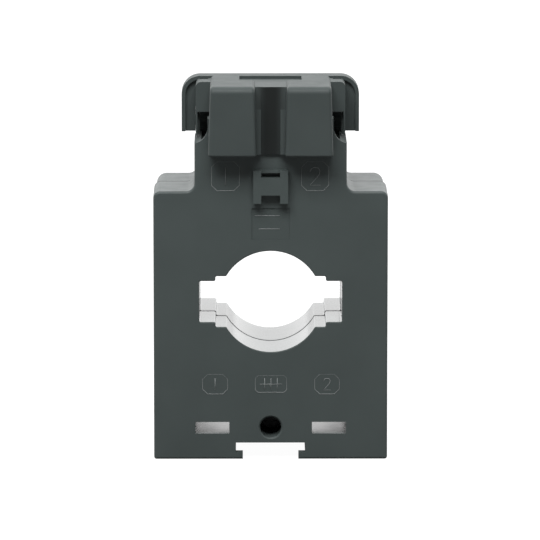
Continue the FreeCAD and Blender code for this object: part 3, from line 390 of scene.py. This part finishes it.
def polish_strap_slots(material, polish):
    """Smooth skin in the strap slots, duller towards their outer ends."""
    tree = material.node_tree
    reach = SLOT_ENDS[1] + EDGE
    scale_input(tree, "Roughness", gradient(
        tree, (-reach, FACE + EDGE, SLOT_BOTTOM), (reach, REAR_FACE - EDGE, SLOT_TOP),
        SLOT_ENDS, (polish, min(1.0, SLOT_END_DULLNESS * polish))))


def paint_seam_shadow(material):
    """Painted shadow along the parting of the shells: darker colour and weaker reflection, wider on
    the shoulders.

    It comes after polish_window, which links the specular level.
    """
    tree = material.node_tree
    side = SHELL_HIGH.x + EDGE
    lines = (((-side, SEAM - SHOULDER_SHADOW_WIDTH, SHOULDER - EDGE), (side, SEAM, SHOULDER + EDGE)),
             ((-side, SEAM - SIDE_SHADOW_WIDTH, -EDGE), (side, SEAM, CAP_LOW.z)))
    for low, high in lines:
        # Painted shadow: darker colour and weaker reflection along the parting.
        seam_shadow = within(tree, low, high, 1.0, SEAM_SHADOW_TONE)
        darken(tree, seam_shadow)
        scale_input(tree, "Specular IOR Level", seam_shadow)


def paint_channel_shade(material, tone):
    """Painted shade in the middle of the channel of the cap, darkest along its middle strip."""
    tree = material.node_tree
    darken(tree, gradient(
        tree, (-CHANNEL_HALF, CHANNEL_BACK - 2 * EDGE, CAP_LOW.z - EDGE),
        (CHANNEL_HALF, CHANNEL_BACK + EDGE, CAP_HIGH.z - 3 * EDGE),
        (CHANNEL_MIDDLE, CHANNEL_HALF), (tone, 1.0)))


def moulded_plastic(name, colour, roughness, grain, grain_depth):
    """Satin moulding: clouded colour, eroded grain and faint flow in the skin."""
    material, tree, shader = new_material(name)
    shader.inputs["Specular IOR Level"].default_value = SKIN_SPECULAR
    point = object_point(tree)
    clouds = noise(tree, point, CLOUD_SCALE, 3)
    feed(tree, two_tone(tree, clouds, *(shade(colour, tone) for tone in CLOUD_TONES)),
         shader.inputs["Base Color"])
    skin = noise(tree, point, SKIN_SCALE, 2)
    feed(tree, spread(tree, skin, roughness - SKIN_SPREAD, roughness + SKIN_SPREAD),
         shader.inputs["Roughness"])
    eroded = bump(tree, noise(tree, point, 1 / grain, 2), grain_depth)
    flow = noise(tree, object_point(tree, FLOW_STRETCH), FLOW_SCALE, 1)
    bump(tree, flow, grain_depth * FLOW_DEPTH, eroded)
    return material


def plated_metal(name, colour, roughness, stretch):
    """Plated metal with fine drawn or turned lines along one direction."""
    material, tree, shader = new_material(name)
    shader.inputs["Metallic"].default_value = 1.0
    lines = noise(tree, object_point(tree, stretch), LINE_SCALE, 1)
    feed(tree, spread(tree, lines, *(roughness + offset for offset in LINE_SPREAD)),
         shader.inputs["Roughness"])
    stains = noise(tree, object_point(tree), STAIN_SCALE, 3)
    feed(tree, two_tone(tree, stains, *(shade(colour, tone) for tone in STAIN_TONES)),
         shader.inputs["Base Color"])
    bump(tree, lines, LINE_DEPTH)
    return material


def from_ring_middle(tree):
    """Object coordinates from the middle of the wound ring."""
    return combine(tree, "SUBTRACT", object_point(tree), (CORE_LOW + CORE_HIGH) / 2)


def laid_turns(name, colour, groove_shade, roughness, pitch, depth, metallic):
    """Wire or tape laid side by side round the ring: ridges that run front to rear, with painted
    shade in the creases between them.
    """
    material, tree, shader = new_material(name)
    shader.inputs["Metallic"].default_value = metallic
    shader.inputs["Roughness"].default_value = roughness
    place = parts_of(tree, from_ring_middle(tree))
    angle = calculate(tree, "ARCTAN2", place["X"], place["Z"])
    radius = (CORE_HIGH.x - CORE_LOW.x) / 2
    turn = calculate(tree, "FRACT", calculate(tree, "MULTIPLY", angle, radius / pitch))
    ridge = calculate(tree, "PINGPONG", turn, 0.5)
    # Painted shade: the darker colour sits in the creases between the ridges.
    feed(tree, two_tone(tree, ridge, groove_shade, colour, 0, GROOVE_SHADE_SHARE),
         shader.inputs["Base Color"])
    bump(tree, ridge, depth)
    return material


def wound_strip(name, colour):
    """Edges of a thin steel strip wound into a ring."""
    material, tree, shader = new_material(name)
    shader.inputs["Metallic"].default_value = 1.0
    shader.inputs["Roughness"].default_value = CORE_ROUGHNESS
    shader.inputs["Base Color"].default_value = (*colour, 1)
    away = tree.nodes.new("ShaderNodeVectorMath")
    away.operation = "LENGTH"
    feed(tree, combine(tree, "MULTIPLY", from_ring_middle(tree), (1, 0, 1)), away.inputs[0])
    layers = calculate(tree, "PINGPONG", away.outputs["Value"], STRIP_THICKNESS)
    bump(tree, layers, 1.0)
    return material


def soft_foam(name, colour):
    """Closed cell foam."""
    material, tree, shader = new_material(name)
    shader.inputs["Base Color"].default_value = (*colour, 1)
    shader.inputs["Roughness"].default_value = FOAM_ROUGHNESS
    cells = tree.nodes.new("ShaderNodeTexVoronoi")
    cells.inputs["Scale"].default_value = 1 / FOAM_CELL
    feed(tree, object_point(tree), cells.inputs["Vector"])
    bump(tree, cells.outputs["Distance"], FOAM_DEPTH)
    return material


def dress(material, *nodes):
    """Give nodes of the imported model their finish."""
    for node in nodes:
        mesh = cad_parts[node].data
        mesh.materials.clear()
        mesh.materials.append(material)


def add_piece(name, mesh, material, body):
    """Put a finished mesh into the scene on its body."""
    mesh.materials.clear()
    mesh.materials.append(material)
    piece = bpy.data.objects.new(name, mesh)
    bpy.context.scene.collection.objects.link(piece)
    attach(piece, body)


def mesh_of(thing):
    """Plain mesh of an object with its curve or modifiers applied; the object is removed."""
    bpy.context.scene.collection.objects.link(thing)
    bpy.context.view_layer.update()
    graph = bpy.context.evaluated_depsgraph_get()
    mesh = bpy.data.meshes.new_from_object(thing.evaluated_get(graph))
    bpy.data.objects.remove(thing)
    return mesh


def joined(name, meshes):
    """One mesh out of several."""
    work = bmesh.new()
    for mesh in meshes:
        work.from_mesh(mesh)
    bmesh.ops.remove_doubles(work, verts=work.verts, dist=WELD)
    bmesh.ops.recalc_face_normals(work, faces=work.faces)
    whole = bpy.data.meshes.new(name)
    work.to_mesh(whole)
    work.free()
    return whole


def raised_line(points, rib, closed=False, fade=1.0):
    """Round rib along the points, half sunk in the surface; it thins to a share at its top."""
    curve = bpy.data.curves.new("line", "CURVE")
    curve.dimensions = "3D"
    spline = curve.splines.new("POLY")
    spline.points.add(len(points) - 1)
    low = min(point.z for point in points)
    reach = max(point.z for point in points) - low
    for target, point in zip(spline.points, points):
        target.co = (*point, 1)
        target.radius = 1 - (1 - fade) * (point.z - low) / reach if reach else 1
    spline.use_cyclic_u = closed
    curve.bevel_depth = rib
    curve.bevel_resolution = 3
    curve.use_fill_caps = True
    return mesh_of(bpy.data.objects.new("line", curve))


def raised_frame(outline, rib, fade):
    """Raised frame whose four corners are cut; its outline is in millimetres."""
    left, right, bottom, top, corner = (size * MM for size in outline)
    corners = ((left + corner, bottom), (right - corner, bottom), (right, bottom + corner),
               (right, top - corner), (right - corner, top), (left + corner, top),
               (left, top - corner), (left, bottom + corner))
    return raised_line([Vector((x, FACE, z)) for x, z in corners], rib, True, fade)


def figure(strokes, outline, height, rib):
    """Raised figure out of ribs, in the middle of a frame."""
    left, right, bottom, top, _ = (size * MM for size in outline)
    middle = (left + right) / 2
    foot = (bottom + top - height) / 2
    return raised_line([Vector((middle + across * height, FACE, foot + up * height))
                        for across, up in strokes], rib)


def level_line(line, depth, rib):
    """Raised line across the front; its ends and its height are in millimetres."""
    left, right, up = (size * MM for size in line)
    return raised_line([Vector((left, depth, up)), Vector((right, depth, up))], rib)


def repeated(mesh, count, step, material):
    """The mesh several times, one step apart, by geometry nodes."""
    tree = bpy.data.node_groups.new("repeated", "GeometryNodeTree")
    sockets = {}
    for name, kind in (("Geometry", "NodeSocketGeometry"), ("Count", "NodeSocketInt"),
                       ("Step", "NodeSocketVector"), ("Material", "NodeSocketMaterial")):
        sockets[name] = tree.interface.new_socket(name, in_out="INPUT", socket_type=kind)
    tree.interface.new_socket("Geometry", in_out="OUTPUT", socket_type="NodeSocketGeometry")
    start = tree.nodes.new("NodeGroupInput")
    line = tree.nodes.new("GeometryNodeMeshLine")
    feed(tree, start.outputs["Count"], line.inputs["Count"])
    feed(tree, start.outputs["Step"], line.inputs["Offset"])
    copies = tree.nodes.new("GeometryNodeInstanceOnPoints")
    feed(tree, line.outputs["Mesh"], copies.inputs["Points"])
    feed(tree, start.outputs["Geometry"], copies.inputs["Instance"])
    real = tree.nodes.new("GeometryNodeRealizeInstances")
    feed(tree, copies.outputs["Instances"], real.inputs["Geometry"])
    paint = tree.nodes.new("GeometryNodeSetMaterial")
    feed(tree, real.outputs["Geometry"], paint.inputs["Geometry"])
    feed(tree, start.outputs["Material"], paint.inputs["Material"])
    end = tree.nodes.new("NodeGroupOutput")
    feed(tree, paint.outputs["Geometry"], end.inputs["Geometry"])
    thing = bpy.data.objects.new("repeated", mesh)
    modifier = thing.modifiers.new("repeated", "NODES")
    modifier.node_group = tree
    for name, value in (("Count", count), ("Step", step), ("Material", material)):
        modifier[sockets[name].identifier] = value
    return mesh_of(thing)


class TRANSFORMER_OT_housing_finish(bpy.types.Operator):
    """Moulded plastic of the shells, the cap and the carrier of the terminals"""
    bl_idname = "transformer.housing_finish"
    bl_label = "Housing finish"

    def execute(self, context):
        look = context.scene.transformer_moulding
        skin = (look.grain, look.grain_depth)
        housing = moulded_plastic("housing_plastic", look.colour, look.roughness, *skin)
        polish_window(housing, look.polish)
        polish_strap_slots(housing, look.slot_polish)
        # Painted shadow along the parting of the shells.
        paint_seam_shadow(housing)
        dress(housing, "front_shell", "rear_shell")
        cap = moulded_plastic("cap_plastic", shade(look.colour, look.cap_tone),
                              look.roughness + look.cap_dullness, *skin)
        # Painted shade in the channel of the cap.
        paint_channel_shade(cap, look.channel_shade_tone)
        dress(cap, "terminal_cap")
        carrier = moulded_plastic("carrier_plastic", shade(look.colour, look.carrier_tone),
                                  look.roughness + look.carrier_dullness, *skin)
        dress(carrier, "terminal_carrier")
        return {"FINISHED"}


class TRANSFORMER_OT_metal_finish(bpy.types.Operator):
    """Plated metal of the terminals and the screws"""
    bl_idname = "transformer.metal_finish"
    bl_label = "Metal finish"

    def execute(self, context):
        nickel = plated_metal("nickel_brass", *NICKEL)
        zinc = plated_metal("zinc_steel", *ZINC)
        for side in ("left", "right"):
            dress(nickel, f"{side}_terminal_bar")
            dress(zinc, f"{side}_clamp_saddle", f"{side}_spring_washer", f"{side}_terminal_screw")
        dress(plated_metal("black_steel", *BLACK_OXIDE), "assembly_screw")
        return {"FINISHED"}


class TRANSFORMER_OT_coil_finish(bpy.types.Operator):
    """Steel, copper, tape and foam of the wound ring"""
    bl_idname = "transformer.coil_finish"
    bl_label = "Coil finish"

    def execute(self, context):
        dress(wound_strip("core_steel", CORE_STEEL), "wound_core")
        dress(moulded_plastic("insulation_plastic", *NYLON), "core_cup_front", "core_cup_rear")
        dress(laid_turns("enamelled_copper", COPPER, COPPER_GROOVE_SHADE, roughness=0.28,
                         pitch=0.45 * MM, depth=0.3 * MM, metallic=1.0), "secondary_winding")
        dress(laid_turns("tape", TAPE, TAPE_GROOVE_SHADE, roughness=0.35,
                         pitch=6 * MM, depth=0.1 * MM, metallic=0.0), "winding_tape")
        dress(soft_foam("foam", FOAM), "coil_pad_front", "coil_pad_rear")
        dress(moulded_plastic("lead_sheath", *SHEATH), "left_lead", "right_lead")
        return {"FINISHED"}


class TRANSFORMER_OT_marks(bpy.types.Operator):
    """Raised frames, figures and lines on the front face"""
    bl_idname = "transformer.marks"
    bl_label = "Marks"

    def execute(self, context):
        sizes = context.scene.transformer_marks
        plastic = bpy.data.materials["housing_plastic"]
        meshes = []
        for outlines, height in ((FOOT_FRAMES, sizes.figure_height),
                                 (NECK_FRAMES, sizes.neck_figure_height)):
            for outline, strokes in zip(outlines, (ONE, TWO)):
                meshes.append(raised_frame(outline, sizes.rib, sizes.fade))
                meshes.append(figure(strokes, outline, height, sizes.rib))
        meshes.append(raised_frame(GRID_FRAME, sizes.rib, sizes.fade))
        stroke = raised_line([Vector((GRID_LEFT * MM, FACE, up * MM))
                              for up in (GRID_FOOT, GRID_HEAD)], sizes.rib)
        meshes.append(repeated(stroke, GRID_STROKES, (GRID_STEP * MM, 0, 0), plastic))
        meshes.append(level_line(GRID_BAR, FACE, sizes.rib))
        for line in PLATE_LINES:
            meshes.append(level_line(line, FACE + PLATE_DEPTH, sizes.rib))
        add_piece("front_marks", joined("front_marks", meshes), plastic, "housing")
        return {"FINISHED"}


def area_lamp(name, place, aim, size, power):
    data = bpy.data.lights.new(name, "AREA")
    data.shape = "RECTANGLE"
    data.size, data.size_y = size
    data.energy = power
    lamp = bpy.data.objects.new(name, data)
    lamp.location = place
    lamp.rotation_euler = (Vector(aim) - Vector(place)).to_track_quat("-Z", "Y").to_euler()
    bpy.context.scene.collection.objects.link(lamp)


def studio_world(front, top, rear):
    """Room that is dim behind the camera, with a lit ceiling and a lit wall behind the object."""
    world = bpy.data.worlds.new("studio")
    bpy.context.scene.world = world
    world.use_nodes = True
    tree = world.node_tree
    place = tree.nodes.new("ShaderNodeTexCoord")
    way = parts_of(tree, place.outputs["Generated"])
    room = map_range(tree, way["Y"], (-ROOM_TURN, ROOM_TURN), (front, rear), "SMOOTHSTEP")
    ceiling = map_range(tree, way["Z"], CEILING_RISE, (0, top), "SMOOTHSTEP")
    path = tree.nodes.new("ShaderNodeLightPath")
    seen = tree.nodes.new("ShaderNodeMix")
    feed(tree, path.outputs["Is Camera Ray"], seen.inputs["Factor"])
    feed(tree, calculate(tree, "ADD", room, ceiling), seen.inputs["A"])
    seen.inputs["B"].default_value = 1.0
    background = tree.nodes["Background"]
    background.inputs["Color"].default_value = (1, 1, 1, 1)
    feed(tree, seen.outputs["Result"], background.inputs["Strength"])


def pale_floor(glow, reflected, tone):
    """White floor that glows for the camera and keeps a soft shadow.

    Reflections show all of the glow behind the object and a share of it in front.
    """
    mesh = bpy.data.meshes.new("floor")
    half = FLOOR_HALF
    mesh.from_pydata([(-half, -half, 0), (half, -half, 0), (half, half, 0), (-half, half, 0)],
                     [], [(0, 1, 2, 3)])
    floor = bpy.data.objects.new("floor", mesh)
    bpy.context.scene.collection.objects.link(floor)
    material, tree, shader = new_material("floor_paint")
    shader.inputs["Base Color"].default_value = (tone, tone, tone, 1)
    shader.inputs["Roughness"].default_value = FLOOR_ROUGHNESS
    shader.inputs["Specular IOR Level"].default_value = FLOOR_SPECULAR
    shader.inputs["Emission Color"].default_value = (1, 1, 1, 1)
    share = map_range(tree, parts_of(tree, object_point(tree))["Y"],
                      (FACE, REAR_FACE + BACKDROP_START), (glow * reflected, glow), "SMOOTHSTEP")
    path = tree.nodes.new("ShaderNodeLightPath")
    mirrored = calculate(tree, "MULTIPLY", share, path.outputs["Is Glossy Ray"])
    feed(tree, calculate(tree, "MULTIPLY_ADD", path.outputs["Is Camera Ray"], glow, mirrored),
         shader.inputs["Emission Strength"])
    mesh.materials.append(material)


def studio_camera(studio):
    """Camera at the viewing angle of the photograph."""
    data = bpy.data.cameras.new("camera")
    data.lens = studio.lens
    data.sensor_width = SENSOR_WIDTH
    data.clip_start, data.clip_end = CLIP_NEAR, CLIP_FAR
    camera = bpy.data.objects.new("camera", data)
    ahead = Vector((math.sin(studio.yaw) * math.cos(studio.pitch),
                    math.cos(studio.yaw) * math.cos(studio.pitch), -math.sin(studio.pitch)))
    camera.location = Vector(studio.aim) - ahead * studio.distance
    camera.rotation_euler = ahead.to_track_quat("-Z", "Y").to_euler()
    bpy.context.scene.collection.objects.link(camera)
    bpy.context.scene.camera = camera


class TRANSFORMER_OT_stage(bpy.types.Operator):
    """White studio: floor, world, lamp and camera"""
    bl_idname = "transformer.stage"
    bl_label = "Stage"

    def execute(self, context):
        studio = context.scene.transformer_studio
        context.scene.view_settings.view_transform = "Standard"
        studio_world(studio.room_front, studio.room_top, studio.room_rear)
        pale_floor(studio.floor_glow, studio.floor_reflected, studio.floor_tone)
        area_lamp("key", KEY_PLACE, studio.aim, KEY_SIZE, studio.key_power)
        studio_camera(studio)
        return {"FINISHED"}


class TRANSFORMER_PT_panel(bpy.types.Panel):
    """Lists the steps that dress the transformer"""
    bl_idname = "TRANSFORMER_PT_panel"
    bl_label = "Window current transformer"
    bl_space_type = "VIEW_3D"
    bl_region_type = "UI"
    bl_category = "Transformer"

    def draw(self, context):
        for step in STEPS:
            self.layout.operator(step.bl_idname)
        for group in GROUPS:
            settings = getattr(context.scene, group)
            for name in settings.bl_rna.properties.keys():
                if name not in ("rna_type", "name"):
                    self.layout.prop(settings, name)


STEPS = (
    TRANSFORMER_OT_housing_finish,
    TRANSFORMER_OT_metal_finish,
    TRANSFORMER_OT_coil_finish,
    TRANSFORMER_OT_marks,
    TRANSFORMER_OT_stage,
)
GROUPS = {
    "transformer_moulding": MouldedFinish,
    "transformer_marks": MarkSizes,
    "transformer_studio": StudioSettings,
}


def register():
    for name, group in GROUPS.items():
        bpy.utils.register_class(group)
        setattr(bpy.types.Scene, name, bpy.props.PointerProperty(type=group))
    for step in STEPS:
        bpy.utils.register_class(step)
    bpy.utils.register_class(TRANSFORMER_PT_panel)


def unregister():
    bpy.utils.unregister_class(TRANSFORMER_PT_panel)
    for step in reversed(STEPS):
        bpy.utils.unregister_class(step)
    for name, group in reversed(GROUPS.items()):
        delattr(bpy.types.Scene, name)
        bpy.utils.unregister_class(group)


def main():
    """Run the steps in order."""
    register()
    for step in STEPS:
        group, action = step.bl_idname.split(".")
        getattr(getattr(bpy.ops, group), action)()


if __name__ == "__main__":
    main()
